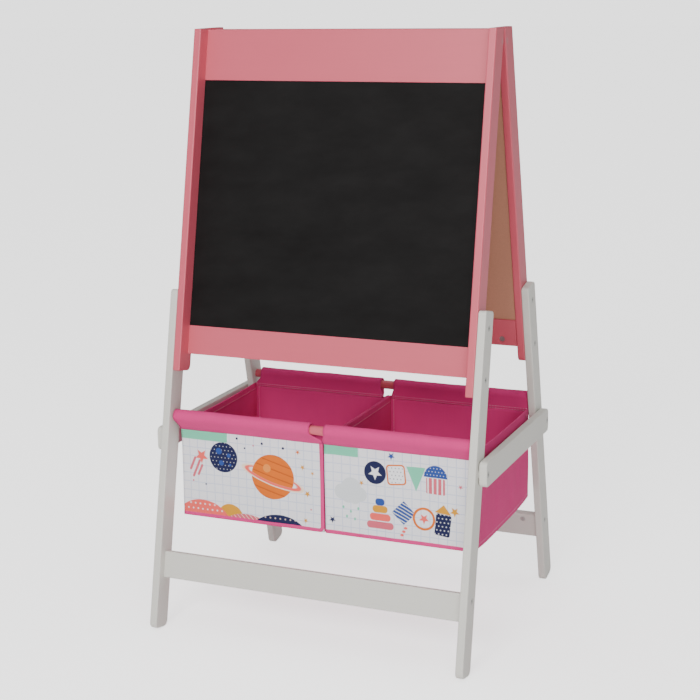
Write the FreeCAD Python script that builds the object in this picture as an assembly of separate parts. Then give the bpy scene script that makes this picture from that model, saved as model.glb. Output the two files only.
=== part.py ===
import FreeCAD, Part
import os
from math import cos, radians, sin, sqrt

# Folding two-sided easel for children, in millimetres.
# X is the width, -Y the chalkboard side, +Z up. The origin is on the floor at the centre.
# Each frame is drawn flat and then leaned: x across, d out from its inner face, s down its slope
# from the line where the two inner faces meet.

# Driving dimensions
TILT = 11.8            # lean of each frame from the vertical, degrees
TOP_Z = 980.0          # height of the level-cut stile tops
BOARD_W = 523.0        # over the stiles
STOCK_T = 13.0         # thickness of stiles, legs, rails and crossbars
DEPTH = 38.0           # depth of stiles and legs
LEG_TOP_S = 444.5
LEG_END_S = 1009.0
FOOT_R = 10.0          # rounded corners of the feet
FOOT_FLAT = 0.3        # how much of the rounding is worn level
STILE_END_S = 579.0
TOP_RAIL_S = 10.6
PANEL_TOP_S = 94.6
PANEL_END_S = 503.0
BOTTOM_RAIL_END_S = 550.5
PANEL_D = (3.0, 12.0)  # inner and outer face of the board panel
GROOVE = 4.0           # how far the panel enters each stile
CROSSBAR_S = (881.0, 925.0)
CROSSBAR_D = 9.3
MID_D = DEPTH / 2.0
EDGE_R = 2.0           # softened long edges

DOWEL_R = 7.5
DOWEL_S = 655.0
SOCKET = 7.0           # depth of the blind dowel sockets

SIDE_Z = 309.5         # centre height of the side rails
SIDE_H = 40.0
SIDE_L = 336.0
SIDE_R = 8.0
SPACER_T = 1.0

BOLT_R = 3.0
HEAD_R = 5.0
HEAD_T = 2.6
SLIP = 0.1             # clearance around bolts, nuts and inserts
RUN = 0.05             # radial clearance of a turning fit
BARREL_R = 4.75
BARREL_L = 10.5
INSERT_R = 4.5
INSERT_L = 11.0
PIN_R = 4.0
PIN_IN = 22.0          # wood pin inside a rail
HALF_T = STOCK_T / 2.0  # bolts and pins lie in the middle of the stock
RAIL_BOLT_S = (29.0, 538.5)
RAIL_PIN_S = (76.0, 516.0)
LEG_BOLT_S = (471.5, 551.0)
CROSS_BOLT_S = 891.5
CROSS_PIN_S = 914.0
BARREL_IN = 25.0       # barrel nut centre from the end of a rail
BOLT_REACH = 34.0      # how far a bolt enters the end of a rail
BOLT_HOLE = 40.0       # and how deep its hole is
PIN_STILE = 8.0        # how far a wood pin enters a stile
PIN_LEG = 9.0          # or a leg
LEG_BOLT_IN = 9.0      # how far a bolt enters an insert in a stile
PIVOT_IN = 10.0        # and in a leg
HEX_FLATS = 4.0        # socket in a bolt head
HEX_DEEP = 1.6
CAP_T = 1.3            # plastic cap over the upper rail bolts
CAP_PROUD = 0.4
SPACER_R = 7.0

HINGE_X = 150.0
HINGE_W = 50.0
HINGE_DROP = 14.2      # pin axis below the line where the inner faces meet
LEAF_T = 1.2
LEAF_S = 38.0
KNUCKLE_R = 2.75
KNUCKLE_HALF = 10.0    # half length of the middle knuckle
KNUCKLE_GAP = 0.2
TONGUE = 3.4           # bent strip between leaf and knuckle
HINGE_PIN_R = 1.5
SCREW_R = 1.5
SCREW_HEAD_R = 3.0
SCREW_S = 30.0
SCREW_STEP = 17.0

BIN_X = {"left": (-256.0, 4.6), "right": (5.4, 260.0)}
BIN_Z = (174.0, 333.0)
SLEEVE_X = {"left": (-259.0, -12.5), "right": (12.5, 259.0)}
CLOTH_T = 1.2
SLEEVE_R = 8.3         # inside the sleeve
SLEEVE_DROP = 11.0     # sleeve's lower curve below its upper one
BASE_T = 3.0
SEAM_GAP = 0.3         # between bin pieces that move apart
REAR_SEAM = 5.5        # the rear wall's top edge below the sleeve's lower curve

OUT_X = BOARD_W / 2.0
IN_X = OUT_X - STOCK_T
LEG_X = OUT_X + STOCK_T
SIDE_X = LEG_X + SPACER_T
TILT_RAD = radians(TILT)
APEX_Z = (LEG_END_S - FOOT_R) * cos(TILT_RAD) - FOOT_R * sin(TILT_RAD) + FOOT_R - FOOT_FLAT
SIDE_S = (APEX_Z - SIDE_Z + MID_D * sin(TILT_RAD)) / cos(TILT_RAD)
SIDE_Y = SIDE_S * sin(TILT_RAD) + MID_D * cos(TILT_RAD)
BIG = 2000.0
V = FreeCAD.Vector
AXIS_X = V(1, 0, 0)


def box(x0, x1, y0, y1, z0, z1):
    return Part.makeBox(x1 - x0, y1 - y0, z1 - z0, V(x0, y0, z0))


def plank(x0, x1, d0, d1, s0, s1):
    """A box in the flat frame."""
    return box(min(x0, x1), max(x0, x1), -d1, -d0, -s1, -s0)


def rod_x(radius, x0, x1, y, z):
    return Part.makeCylinder(radius, abs(x1 - x0), V(min(x0, x1), y, z), AXIS_X)


def across(radius, x0, x1, d, s):
    """A cylinder across the flat frame."""
    return rod_x(radius, x0, x1, -d, -s)


def outward(radius, x, d0, d1, s, tip=None):
    """A cylinder, or a cone ending in radius tip, square to the flat frame's faces."""
    base = V(x, -d1, -s)
    if tip is None:
        return Part.makeCylinder(radius, d1 - d0, base, V(0, 1, 0))
    return Part.makeCone(tip, radius, d1 - d0, base, V(0, 1, 0))


def lean(shape):
    leaned = shape.copy()
    leaned.rotate(V(0, 0, 0), AXIS_X, -TILT)
    leaned.translate(V(0, 0, APEX_Z))
    return leaned


def to_rear(shape):
    return shape.mirror(V(0, 0, 0), V(0, 1, 0))


def to_left(shape):
    return shape.mirror(V(0, 0, 0), AXIS_X)


def corner_edges(shape, corners):
    """The edges along X at each (d, s) in corners."""
    found = []
    for edge in shape.Edges:
        middle = edge.CenterOfMass
        for d, s in corners:
            if abs(middle.y + d) < 0.01 and abs(middle.z + s) < 0.01:
                found.append(edge)
    return found


def rounded(shape, radius, corners):
    return shape.makeFillet(radius, corner_edges(shape, corners))


def soften_sides(shape, radius=EDGE_R):
    """Round the outline of both side faces."""
    low = shape.BoundBox.XMin
    high = shape.BoundBox.XMax
    edges = []
    for edge in shape.Edges:
        limits = edge.BoundBox
        if limits.XMax < low + 0.01 or limits.XMin > high - 0.01:
            edges.append(edge)
    return shape.makeFillet(radius, edges)


def soften_long(shape, radius=EDGE_R):
    """Round every edge that runs the whole width."""
    width = shape.BoundBox.XLength
    edges = [edge for edge in shape.Edges if edge.BoundBox.XLength > width - 0.01]
    return shape.makeFillet(radius, edges)


def cut(shape, tools):
    for tool in tools:
        shape = shape.cut(tool)
    return shape


def hex_tool(x0, x1, y, z):
    """A hexagonal prism along X, for a socket."""
    radius = HEX_FLATS / sqrt(3.0)
    corners = []
    for k in range(7):
        turn = radians(60.0 * k)
        corners.append(V(x0, y + radius * cos(turn), z + radius * sin(turn)))
    return Part.Face(Part.makePolygon(corners)).extrude(V(x1 - x0, 0, 0))


def socket_bolt(face_x, tip_x, y, z):
    """A flush socket-head bolt along X, its head's outer face at face_x."""
    bolt = rod_x(HEAD_R, face_x - HEAD_T, face_x, y, z)
    bolt = bolt.fuse(rod_x(BOLT_R, tip_x, face_x - HEAD_T, y, z)).removeSplitter()
    return bolt.cut(hex_tool(face_x - HEX_DEEP, face_x + 1.0, y, z))


def insert(face_x, y, z):
    """A threaded insert along X, its mouth at face_x."""
    body = rod_x(INSERT_R, face_x - INSERT_L, face_x, y, z)
    return body.cut(rod_x(BOLT_R + RUN, face_x - BIG, face_x + 1.0, y, z))


def barrel(x, d0, s):
    """A cross dowel nut square to the frame, its slotted end near d0."""
    body = outward(BARREL_R, x, d0 + 0.3, d0 + 0.3 + BARREL_L, s)
    body = body.cut(across(BOLT_R + RUN, x - 10, x + 10, d0 + HALF_T, s))
    return body.cut(plank(x - 0.6, x + 0.6, d0 - 1.0, d0 + 1.3, s - 4, s + 4))


# Right-hand pieces of one leaning frame, drawn flat

def right_stile():
    stile = plank(IN_X, OUT_X, 0, DEPTH, -20.0, STILE_END_S)
    stile = rounded(stile, 9.0, [(0.0, STILE_END_S)])
    stile = rounded(stile, 3.0, [(DEPTH, STILE_END_S)])
    above = lean(stile).cut(box(-BIG, BIG, -BIG, BIG, TOP_Z, BIG))
    above.translate(V(0, 0, -APEX_Z))
    above.rotate(V(0, 0, 0), AXIS_X, TILT)
    stile = soften_sides(above)
    tools = [plank(IN_X - 1, IN_X + GROOVE, PANEL_D[0], PANEL_D[1], PANEL_TOP_S, PANEL_END_S)]
    for s, sink in zip(RAIL_BOLT_S, (HEAD_T + 1.0, HEAD_T + 0.2)):
        tools.append(across(BOLT_R + SLIP, IN_X - 1, OUT_X + 1, HALF_T, s))
        tools.append(across(HEAD_R + SLIP, OUT_X - sink, OUT_X + 1, HALF_T, s))
    for s in RAIL_PIN_S:
        tools.append(across(PIN_R, IN_X - 1, IN_X + PIN_STILE, HALF_T, s))
    for s in LEG_BOLT_S:
        tools.append(across(INSERT_R + SLIP, OUT_X - INSERT_L - 0.5, OUT_X + 1, MID_D, s))
    return cut(stile, tools)


def right_leg():
    leg = plank(OUT_X, LEG_X, 0, DEPTH, LEG_TOP_S, LEG_END_S)
    leg = rounded(leg, FOOT_R, [(0.0, LEG_END_S), (DEPTH, LEG_END_S)])
    leg = rounded(leg, 6.0, [(0.0, LEG_TOP_S), (DEPTH, LEG_TOP_S)])
    leg = soften_sides(leg)
    cross_d = CROSSBAR_D + HALF_T
    tools = []
    for s, d in [(LEG_BOLT_S[0], MID_D), (LEG_BOLT_S[1], MID_D), (CROSS_BOLT_S, cross_d)]:
        tools.append(across(BOLT_R + SLIP, OUT_X - 1, LEG_X + 1, d, s))
        tools.append(across(HEAD_R + SLIP, LEG_X - HEAD_T - 0.2, LEG_X + 1, d, s))
    tools.append(across(PIN_R, OUT_X - 1, OUT_X + PIN_LEG, cross_d, CROSS_PIN_S))
    tools.append(across(DOWEL_R + RUN, OUT_X - 1, OUT_X + SOCKET + 0.1, MID_D, DOWEL_S))
    tools.append(across(INSERT_R + SLIP, LEG_X - INSERT_L - 0.5, LEG_X + 1, MID_D, SIDE_S))
    return cut(leg, tools)


def rail(s0, s1, bolt_s, pin_s):
    shape = soften_long(plank(-IN_X, IN_X, 0, STOCK_T, s0, s1), 0.8)
    return cut(shape, end_joint_tools(IN_X, 0.0, bolt_s, pin_s))


def crossbar():
    shape = plank(-OUT_X, OUT_X, CROSSBAR_D, CROSSBAR_D + STOCK_T, CROSSBAR_S[0], CROSSBAR_S[1])
    return cut(soften_long(shape), end_joint_tools(OUT_X, CROSSBAR_D, CROSS_BOLT_S, CROSS_PIN_S))


def end_joint_tools(end_x, d0, bolt_s, pin_s):
    """Bolt, barrel nut and wood pin holes at both ends of a rail."""
    tools = []
    for side in (1, -1):
        mouth = side * (end_x + 1)
        tools.append(across(BOLT_R + SLIP, side * (end_x - BOLT_HOLE), mouth, d0 + HALF_T, bolt_s))
        centre = side * (end_x - BARREL_IN)
        tools.append(outward(BARREL_R + SLIP, centre, d0 - 1, d0 + BARREL_L + 0.5, bolt_s))
        tools.append(across(PIN_R, side * (end_x - PIN_IN), mouth, d0 + HALF_T, pin_s))
    return tools


# Hinges between the two top rails

PIVOT_S = HINGE_DROP * cos(TILT_RAD)
PIVOT_D = -HINGE_DROP * sin(TILT_RAD)


def hinge_leaf(centre, spans):
    """A leaf with a knuckle over each span of x offsets from its centre."""
    half = HINGE_W / 2.0
    leaf = plank(centre - half, centre + half, -LEAF_T, 0, PIVOT_S + TONGUE, LEAF_S)
    for low, high in spans:
        tongue = plank(centre + low, centre + high, -LEAF_T, 0, PIVOT_S, PIVOT_S + TONGUE)
        leaf = leaf.fuse(tongue)
        leaf = leaf.fuse(across(KNUCKLE_R, centre + low, centre + high, PIVOT_D, PIVOT_S))
    leaf = leaf.removeSplitter()
    leaf = leaf.cut(across(HINGE_PIN_R + RUN, centre - half - 1, centre + half + 1, PIVOT_D, PIVOT_S))
    for step in (-SCREW_STEP, 0, SCREW_STEP):
        leaf = leaf.cut(outward(SCREW_HEAD_R + RUN, centre + step, -LEAF_T, 0, SCREW_S, SCREW_R + RUN))
    return leaf


def hinge_screw(x):
    screw = outward(SCREW_HEAD_R, x, -LEAF_T, 0, SCREW_S, SCREW_R)
    screw = screw.fuse(outward(SCREW_R, x, 0, STOCK_T - 2.0, SCREW_S)).removeSplitter()
    screw = screw.cut(plank(x - 1.8, x + 1.8, -LEAF_T, -LEAF_T + 0.7, SCREW_S - 0.35, SCREW_S + 0.35))
    return screw.cut(plank(x - 0.35, x + 0.35, -LEAF_T, -LEAF_T + 0.7, SCREW_S - 1.8, SCREW_S + 1.8))


def hinge_screws():
    steps = (-SCREW_STEP, 0, SCREW_STEP)
    return [hinge_screw(side * HINGE_X + step) for side in (-1, 1) for step in steps]


# Bins

DOWEL_Y = DOWEL_S * sin(TILT_RAD) + MID_D * cos(TILT_RAD)
DOWEL_Z = APEX_Z - DOWEL_S * cos(TILT_RAD) + MID_D * sin(TILT_RAD)
SLEEVE_Z = DOWEL_Z + 0.3
WALL_OUT = DOWEL_Y - SLEEVE_R  # the walls hang from the inner sides of the sleeves
WALL_IN = WALL_OUT - CLOTH_T


def obround(radius, x0, x1, y):
    upper = rod_x(radius, x0, x1, y, SLEEVE_Z)
    lower = rod_x(radius, x0, x1, y, SLEEVE_Z - SLEEVE_DROP)
    web = box(x0, x1, y - radius, y + radius, SLEEVE_Z - SLEEVE_DROP, SLEEVE_Z)
    return upper.fuse(lower).fuse(web).removeSplitter()


def sleeve(side, y):
    x0, x1 = SLEEVE_X[side]
    return obround(SLEEVE_R + CLOTH_T, x0, x1, y).cut(obround(SLEEVE_R, x0 - 1, x1 + 1, y))


def bin_front(side):
    x0, x1 = BIN_X[side]
    wall = box(x0, x1, -WALL_OUT, -WALL_IN, BIN_Z[0], SLEEVE_Z - SLEEVE_DROP)
    return sleeve(side, -DOWEL_Y).fuse(wall).removeSplitter()


def bin_rear_wall(side):
    x0, x1 = BIN_X[side]
    top = SLEEVE_Z - SLEEVE_DROP - REAR_SEAM
    return box(x0, x1, WALL_IN, WALL_OUT, BIN_Z[0], top)


def bin_sides(side):
    x0, x1 = BIN_X[side]
    walls = []
    for x in (x0, x1 - CLOTH_T):
        walls.append(box(x, x + CLOTH_T, -WALL_IN, WALL_IN - SEAM_GAP, BIN_Z[0], BIN_Z[1]))
    return walls


def bin_base(side):
    x0 = BIN_X[side][0] + CLOTH_T
    x1 = BIN_X[side][1] - CLOTH_T
    return box(x0, x1, -WALL_IN, WALL_IN - SEAM_GAP, BIN_Z[0], BIN_Z[0] + BASE_T)


# Side rails and what holds them


def side_rail():
    half = SIDE_L / 2.0
    shape = box(SIDE_X, SIDE_X + STOCK_T, -half, half, SIDE_Z - SIDE_H / 2, SIDE_Z + SIDE_H / 2)
    ends = [(d, s) for d in (-half, half) for s in (-SIDE_Z - SIDE_H / 2, -SIDE_Z + SIDE_H / 2)]
    shape = soften_sides(rounded(shape, SIDE_R, ends))
    face = SIDE_X + STOCK_T
    for y in (-SIDE_Y, SIDE_Y):
        shape = shape.cut(rod_x(BOLT_R + RUN, SIDE_X - 1, face + 1, y, SIDE_Z))
        shape = shape.cut(rod_x(HEAD_R + 3 * SLIP, face - HEAD_T - 0.3, face + 1, y, SIDE_Z))
    return shape


def spacer(y):
    ring = rod_x(SPACER_R, LEG_X, SIDE_X - SLIP, y, SIDE_Z)
    return ring.cut(rod_x(BOLT_R + SLIP, LEG_X - 1, SIDE_X + 1, y, SIDE_Z))


def bolt_cap():
    top = OUT_X + CAP_PROUD
    cap = across(HEAD_R, top - CAP_T, top, HALF_T, RAIL_BOLT_S[0])
    rim = [e for e in cap.Edges if e.BoundBox.XMin > top - 0.01]
    return cap.makeFillet(0.35, rim)


# Nodes

nodes = {}


def put(name, *solids):
    nodes[name] = Part.makeCompound(list(solids)) if len(solids) > 1 else solids[0]


def both_sides(shapes):
    return list(shapes) + [to_left(shape) for shape in shapes]


top_rail = rail(TOP_RAIL_S, PANEL_TOP_S, RAIL_BOLT_S[0], RAIL_PIN_S[0])
for side in (-1, 1):
    for step in (-SCREW_STEP, 0, SCREW_STEP):
        top_rail = top_rail.cut(outward(SCREW_R, side * HINGE_X + step, -1, STOCK_T - 2.0, SCREW_S))
bottom_rail = rail(PANEL_END_S, BOTTOM_RAIL_END_S, RAIL_BOLT_S[1], RAIL_PIN_S[1])
panel = plank(-IN_X - GROOVE, IN_X + GROOVE, PANEL_D[0], PANEL_D[1], PANEL_TOP_S, PANEL_END_S)
dowel = across(DOWEL_R, -OUT_X - SOCKET, OUT_X + SOCKET, MID_D, DOWEL_S)
cross_d = CROSSBAR_D + HALF_T
head_x = (OUT_X - 1.0, OUT_X - 0.2)
rail_bolts = []
barrels = [barrel(OUT_X - BARREL_IN, CROSSBAR_D, CROSS_BOLT_S)]
for s, face in zip(RAIL_BOLT_S, head_x):
    rail_bolts.append(socket_bolt(face, IN_X - BOLT_REACH, -HALF_T, -s))
    barrels.append(barrel(IN_X - BARREL_IN, 0.0, s))
leg_bolts = [socket_bolt(LEG_X - 0.2, OUT_X - LEG_BOLT_IN, -MID_D, -s) for s in LEG_BOLT_S]
leg_inserts = [insert(OUT_X, -MID_D, -s) for s in LEG_BOLT_S]
cross_bolts = [socket_bolt(LEG_X - 0.2, OUT_X - BOLT_REACH, -cross_d, -CROSS_BOLT_S)]
pins = [across(PIN_R, IN_X - PIN_IN, IN_X + PIN_STILE, HALF_T, s) for s in RAIL_PIN_S]
pins.append(across(PIN_R, OUT_X - PIN_IN, OUT_X + PIN_LEG, cross_d, CROSS_PIN_S))
side_inserts = [insert(LEG_X, -MID_D, -SIDE_S)]

frame = {
    "left_stile": [to_left(right_stile())],
    "right_stile": [right_stile()],
    "top_rail": [top_rail],
    "bottom_rail": [bottom_rail],
    "panel": [panel],
    "left_leg": [to_left(right_leg())],
    "right_leg": [right_leg()],
    "crossbar": [crossbar()],
    "dowel": [dowel],
    "rail_bolts": both_sides(rail_bolts),
    "barrel_nuts": both_sides(barrels),
    "leg_bolts": both_sides(leg_bolts),
    "leg_inserts": both_sides(leg_inserts),
    "crossbar_bolts": both_sides(cross_bolts),
    "wood_pins": both_sides(pins),
    "bolt_caps": both_sides([bolt_cap()]),
    "side_rail_inserts": both_sides(side_inserts),
    "hinge_screws": hinge_screws(),
}
below_floor = box(-BIG, BIG, -BIG, BIG, -BIG, 0)
for name, shapes in frame.items():
    front = [lean(shape) for shape in shapes]
    if name.endswith("leg"):
        front = [shape.cut(below_floor) for shape in front]
    put("front_" + name, *front)
    put("rear_" + name, *[to_rear(shape) for shape in front])

half_w = HINGE_W / 2.0
outer_half = KNUCKLE_HALF + KNUCKLE_GAP
outer_spans = [(-half_w, -outer_half), (outer_half, half_w)]
inner_spans = [(-KNUCKLE_HALF, KNUCKLE_HALF)]
put("hinge_front_leaves", *[lean(hinge_leaf(side * HINGE_X, outer_spans)) for side in (-1, 1)])
put("hinge_rear_leaves", *[to_rear(lean(hinge_leaf(side * HINGE_X, inner_spans))) for side in (-1, 1)])
hinge_pins = []
for side in (-1, 1):
    low = side * HINGE_X - half_w - 0.6
    hinge_pins.append(rod_x(HINGE_PIN_R, low, low + HINGE_W + 1.2, 0, APEX_Z - HINGE_DROP))
put("hinge_pins", *hinge_pins)

face = SIDE_X + STOCK_T - 0.2
pivot = socket_bolt(face, LEG_X - PIVOT_IN, -SIDE_Y, SIDE_Z)
rear_screw = socket_bolt(face, SIDE_X, SIDE_Y, SIDE_Z)
put("right_side_rail", side_rail())
put("left_side_rail", to_left(side_rail()))
put("side_rail_pivot_bolts", *both_sides([pivot]))
put("right_rail_rear_screw", rear_screw)
put("left_rail_rear_screw", to_left(rear_screw))
put("front_spacers", *both_sides([spacer(-SIDE_Y)]))
put("rear_spacers", *both_sides([spacer(SIDE_Y)]))

for side in ("left", "right"):
    put(side + "_bin_front_panel", bin_front(side))
    put(side + "_bin_rear_sleeve", sleeve(side, DOWEL_Y))
    put(side + "_bin_rear_wall", bin_rear_wall(side))
    put(side + "_bin_side_walls", *bin_sides(side))
    put(side + "_bin_base", bin_base(side))

os.makedirs("parts", exist_ok=True)
for name, shape in nodes.items():
    shape.exportStep("parts/" + name + ".step")
print("nodes", len(nodes), "apex", round(APEX_Z, 3), "pivot z", round(APEX_Z - HINGE_DROP, 3))
print("dowel y", round(DOWEL_Y, 3), "z", round(DOWEL_Z, 3), "side rail y", round(SIDE_Y, 3))
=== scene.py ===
# %% Open the frame
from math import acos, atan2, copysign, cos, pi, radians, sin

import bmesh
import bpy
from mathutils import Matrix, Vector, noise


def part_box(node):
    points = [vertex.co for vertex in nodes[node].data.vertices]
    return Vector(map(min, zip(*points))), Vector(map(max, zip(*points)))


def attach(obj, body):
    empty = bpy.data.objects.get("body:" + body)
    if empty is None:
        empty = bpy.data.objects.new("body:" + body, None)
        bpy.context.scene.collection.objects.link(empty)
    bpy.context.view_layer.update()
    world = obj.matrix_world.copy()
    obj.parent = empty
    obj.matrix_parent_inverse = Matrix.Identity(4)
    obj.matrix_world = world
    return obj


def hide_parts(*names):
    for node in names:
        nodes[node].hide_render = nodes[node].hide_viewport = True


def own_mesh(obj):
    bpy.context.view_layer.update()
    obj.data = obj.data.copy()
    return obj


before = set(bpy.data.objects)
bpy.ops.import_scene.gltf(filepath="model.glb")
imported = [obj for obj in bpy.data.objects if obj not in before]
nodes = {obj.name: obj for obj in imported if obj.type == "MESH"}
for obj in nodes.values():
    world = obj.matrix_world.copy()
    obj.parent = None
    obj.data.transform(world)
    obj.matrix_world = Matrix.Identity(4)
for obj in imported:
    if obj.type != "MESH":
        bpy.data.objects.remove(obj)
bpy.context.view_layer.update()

# %% [markdown]
# # A two-sided easel with cloth bins
#
# The easel is two leaning frames hinged at the top. The upper half of each frame is pink lacquered
# wood round a board, the lower half a pair of pale grey legs. Two cloth bins hang between the frames
# on dowels. The wooden pieces come from the frame file with their true sizes, so here they only get
# their finishes; the bins are soft, so they are made here from scratch.

MM = 0.001
lean = radians(11.8)
front_dowel = sum(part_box("front_dowel"), Vector()) / 2
rear_dowel = sum(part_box("rear_dowel"), Vector()) / 2
apex = Vector((0, 0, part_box("hinge_pins")[0].z + 1.5 * MM + 14.2 * MM))
print(len(nodes), "pieces of the frame; dowels at", front_dowel, rear_dowel)

# %% [markdown]
# ## A shader toolkit
#
# A finish is built from numbers that vary over a surface: how much grain, how much dust. Writing them
# as sums is far easier to read than wiring nodes by hand, so one small class wraps a socket and adds a
# Math node for each operator. Colours go through Mix, because a Math node would turn them grey.

# %% Values that vary over a surface
class Value:
    """A shader socket that can be used in sums."""

    def __init__(self, finish, socket):
        self.finish = finish
        self.socket = socket

    def maths(self, operation, *others, clamp=False):
        settings = {"operation": operation, "use_clamp": clamp}
        return self.finish.node("ShaderNodeMath", settings, self, *others)

    def __add__(self, other):
        return self.maths("ADD", other)

    def __sub__(self, other):
        return self.maths("SUBTRACT", other)

    def __rsub__(self, other):
        return self.finish.node("ShaderNodeMath", {"operation": "SUBTRACT"}, other, self)

    def __mul__(self, other):
        return self.maths("MULTIPLY", other)

    def __truediv__(self, other):
        return self.maths("DIVIDE", other)

    __radd__ = __add__
    __rmul__ = __mul__

    def power(self, exponent):
        return self.maths("POWER", exponent)

    def size(self):
        return self.maths("ABSOLUTE")

    def below(self, limit, soft):
        """1 well below limit, 0 well above it."""
        return ((limit - self) / soft + 0.5).maths("ADD", 0.0, clamp=True)

    def above(self, limit, soft):
        return ((self - limit) / soft + 0.5).maths("ADD", 0.0, clamp=True)


# %% A finish and its nodes
def paint(red, green, blue):
    """An sRGB colour as the linear one that a shader takes."""
    return tuple((c / 255) ** 2.2 for c in (red, green, blue))


class Finish:
    """A material with one Principled shader. Constants are set on the shader's own sockets."""

    def __init__(self, name, **constants):
        self.material = bpy.data.materials.new(name)
        self.material.use_nodes = True
        self.tree = self.material.node_tree
        self.tree.nodes.clear()
        self.shader = self.tree.nodes.new("ShaderNodeBsdfPrincipled")
        output = self.tree.nodes.new("ShaderNodeOutputMaterial")
        self.tree.links.new(self.shader.outputs[0], output.inputs[0])
        for name, value in constants.items():
            self.feed(self.shader.inputs[name.replace("_", " ")], value)

    def feed(self, socket, value):
        if isinstance(value, Value):
            self.tree.links.new(value.socket, socket)
        elif socket.type == "RGBA" and len(value) == 3:
            socket.default_value = (*value, 1.0)
        else:
            socket.default_value = value

    def node(self, kind, settings, *inputs, out=0, **named):
        made = self.tree.nodes.new(kind)
        for name, value in settings.items():
            setattr(made, name, value)
        for socket, value in zip(made.inputs, inputs):
            self.feed(socket, value)
        for name, value in named.items():
            self.feed(made.inputs[name.replace("_", " ")], value)
        return Value(self, made.outputs[out])

    def place(self):
        return self.node("ShaderNodeTexCoord", {}, out="Object")

    def cloth_place(self):
        return self.node("ShaderNodeUVMap", {"uv_map": "cloth"})

    def parts(self, vector):
        split = self.node("ShaderNodeSeparateXYZ", {}, vector)
        outputs = split.socket.node.outputs
        return [Value(self, outputs[k]) for k in range(3)]

    def vector(self, operation, *inputs):
        return self.node("ShaderNodeVectorMath", {"operation": operation}, *inputs)

    def noise(self, vector, scale, detail=2.0, roughness=0.5):
        return self.node("ShaderNodeTexNoise", {}, vector, Scale=scale, Detail=detail, Roughness=roughness)

    def mix(self, share, under, over):
        made = self.node("ShaderNodeMix", {"data_type": "RGBA"}, share).socket.node
        self.feed(made.inputs[6], under)
        self.feed(made.inputs[7], over)
        return Value(self, made.outputs[2])

    def bump(self, height, distance):
        relief = self.node("ShaderNodeBump", {}, Strength=1.0, Distance=distance, Height=height)
        self.feed(self.shader.inputs["Normal"], relief)

    def set(self, name, value):
        self.feed(self.shader.inputs[name], value)


print("toolkit ready")

# %% [markdown]
# ## Lacquered wood
#
# The planks are sprayed with a satin lacquer, so there is hardly any grain to see, only a faint
# relief along the plank where the fibres stood up under the spray, and a very slight change in shine.
# The relief has to run along each plank. Noise stretched along one direction does that: the place is
# scaled up everywhere, and then scaled back down along the grain.

# %% Grain along a direction
def stretched(finish, place, along, fine, coarse):
    """Place scaled by fine across the grain and by coarse along it."""
    run = finish.node("ShaderNodeVectorMath", {"operation": "DOT_PRODUCT"}, place, along, out="Value")
    back = finish.vector("MULTIPLY", along, tuple([coarse - fine] * 3))
    along_part = finish.node("ShaderNodeVectorMath", {"operation": "SCALE"}, back, Scale=run)
    across_part = finish.vector("MULTIPLY", place, (fine, fine, fine))
    return finish.vector("ADD", across_part, along_part)


def lacquer(name, colour, along):
    finish = Finish(name, Coat_Weight=0.25, Coat_Roughness=0.28, Specular_IOR_Level=0.45)
    place = finish.place()
    grain = finish.noise(stretched(finish, place, along, 420.0, 9.0), 1.0, 5.0, 0.6)
    cloud = finish.noise(place, 9.0, 3.0, 0.5)
    spray = finish.noise(place, 900.0, 2.0, 0.5)
    darker = tuple(c * 0.93 for c in colour)
    lighter = tuple(min(1.0, c * 1.03) for c in colour)
    finish.set("Base Color", finish.mix(0.55 * grain + 0.45 * cloud, darker, lighter))
    finish.set("Roughness", 0.36 + 0.10 * cloud + 0.05 * grain)
    finish.bump(0.7 * grain + 0.3 * spray, 0.00012)
    return finish.material


PINK = paint(208, 90, 106)
GREY = paint(216, 214, 206)
up_front = (0.0, sin(lean), cos(lean))
up_rear = (0.0, -sin(lean), cos(lean))
pink_x = lacquer("pink lacquer, grain across", PINK, (1.0, 0.0, 0.0))
pink_front = lacquer("pink lacquer, front uprights", PINK, up_front)
pink_rear = lacquer("pink lacquer, rear uprights", PINK, up_rear)
grey_x = lacquer("grey lacquer, grain across", GREY, (1.0, 0.0, 0.0))
grey_y = lacquer("grey lacquer, side rails", GREY, (0.0, 1.0, 0.0))
grey_front = lacquer("grey lacquer, front legs", GREY, up_front)
grey_rear = lacquer("grey lacquer, rear legs", GREY, up_rear)
print("seven lacquers")

# %% [markdown]
# ## The two boards
#
# Each board is a sheet of brown fibreboard, painted on its outer face only: black chalk paint on one
# side, glossy white on the other. One material can do both faces of a board. The distance of a point
# from the inner face, measured square to the leaning board, says which face it is on.

# %% Board finishes
def board(name, outward, outer, bare, roughness, dust, shine):
    finish = Finish(name, Specular_IOR_Level=shine)
    place = finish.place()
    from_apex = finish.vector("SUBTRACT", place, tuple(apex))
    depth = finish.node("ShaderNodeVectorMath", {"operation": "DOT_PRODUCT"}, from_apex, outward, out="Value")
    painted = depth.above(11.6 * MM, 0.1 * MM)
    fibre = finish.noise(place, 260.0, 6.0, 0.75)
    speck = finish.noise(place, 900.0, 2.0, 0.5).above(0.63, 0.08)
    broad = finish.noise(place, 6.0, 2.0, 0.5)
    dark_bare = tuple(c * 0.72 for c in bare)
    wood = finish.mix(0.6 * fibre + 0.4 * broad, dark_bare, bare)
    wood = finish.mix(0.35 * speck, wood, tuple(c * 0.5 for c in bare))
    wiped = finish.noise(stretched(finish, place, (0.94, 0.34, 0.0), 26.0, 5.0), 1.0, 4.0, 0.6)
    face = finish.mix(wiped.above(0.5, 0.4) * dust, outer, (0.16, 0.16, 0.16))
    finish.set("Base Color", finish.mix(painted, wood, face))
    finish.set("Roughness", (1 - painted) * 0.75 + painted * (roughness + 0.06 * wiped))
    tooth = finish.noise(place, 1600.0, 2.0, 0.6)
    finish.bump(tooth * (1.0 - 0.6 * painted), 0.00008)
    return finish.material


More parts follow.
